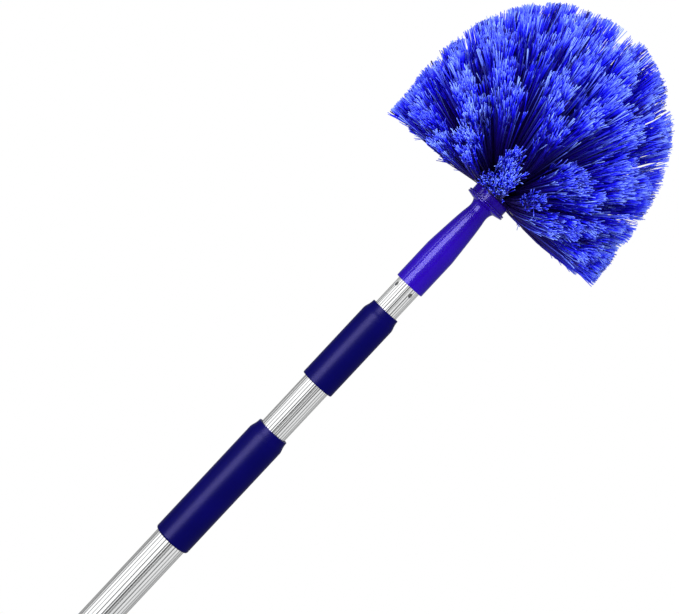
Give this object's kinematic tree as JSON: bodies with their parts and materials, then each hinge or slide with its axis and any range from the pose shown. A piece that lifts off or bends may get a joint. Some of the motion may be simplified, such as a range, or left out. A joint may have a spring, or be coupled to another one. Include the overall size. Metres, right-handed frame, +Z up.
{
  "type": "cobweb duster",
  "caption": "Telescopic cobweb duster: fluted aluminium tubes with twist-lock grips, closed, and a screw-on domed head of blue bristles.",
  "frame": {"origin": "centre of the flat foot of the end cap", "axes": "+Z up the pole to the brush head, +X across the hanging hole"},
  "size_m": [0.223, 0.223, 1.3114],
  "materials": {
    "tube_aluminium": "bright drawn, fluted",
    "grip_plastic": "satin moulded, navy blue",
    "collet_nylon": "natural nylon",
    "tip_plastic": "moulded, blue",
    "head_plastic": "glossy moulded, violet-blue",
    "screw_steel": "zinc plated",
    "bristle_fibre": "flagged synthetic fibre, royal blue"
  },
  "bodies": {
    "pole_outer": {"end_cap": "grip_plastic", "outer_tube": "tube_aluminium", "lower_collet": "collet_nylon"},
    "long_grip": {"long_grip": "grip_plastic"},
    "pole_middle": {"middle_guide_plug": "collet_nylon", "middle_tube": "tube_aluminium", "upper_collet": "collet_nylon"},
    "short_grip": {"short_grip": "grip_plastic"},
    "pole_inner": {"inner_guide_plug": "collet_nylon", "inner_tube": "tube_aluminium", "screw_tip": "tip_plastic"},
    "head": {"head_socket": "head_plastic", "brush_block": "head_plastic", "block_screw": "screw_steel", "bristles_1": "bristle_fibre", "bristles_2": "bristle_fibre", "bristles_3": "bristle_fibre", "bristles_4": "bristle_fibre"}
  },
  "joints": [
    {"name": "long_grip_twist", "type": "hinge", "parent": "pole_outer", "child": "long_grip", "pos_m": [0, 0, 0.8], "axis": [0, 0, 1], "range_deg": [0, 90]},
    {"name": "middle_tube_slide", "type": "slide", "parent": "pole_outer", "child": "pole_middle", "axis": [0, 0, 1], "range_m": [0, 0.769]},
    {"name": "short_grip_twist", "type": "hinge", "parent": "pole_middle", "child": "short_grip", "pos_m": [0, 0, 0.97], "axis": [0, 0, 1], "range_deg": [0, 90]},
    {"name": "inner_tube_slide", "type": "slide", "parent": "pole_middle", "child": "pole_inner", "axis": [0, 0, 1], "range_m": [0, 0.868]},
    {"name": "head_unscrew", "type": "slide", "parent": "pole_inner", "child": "head", "axis": [0, 0, 1], "range_m": [0, 0.045]}
  ]
}
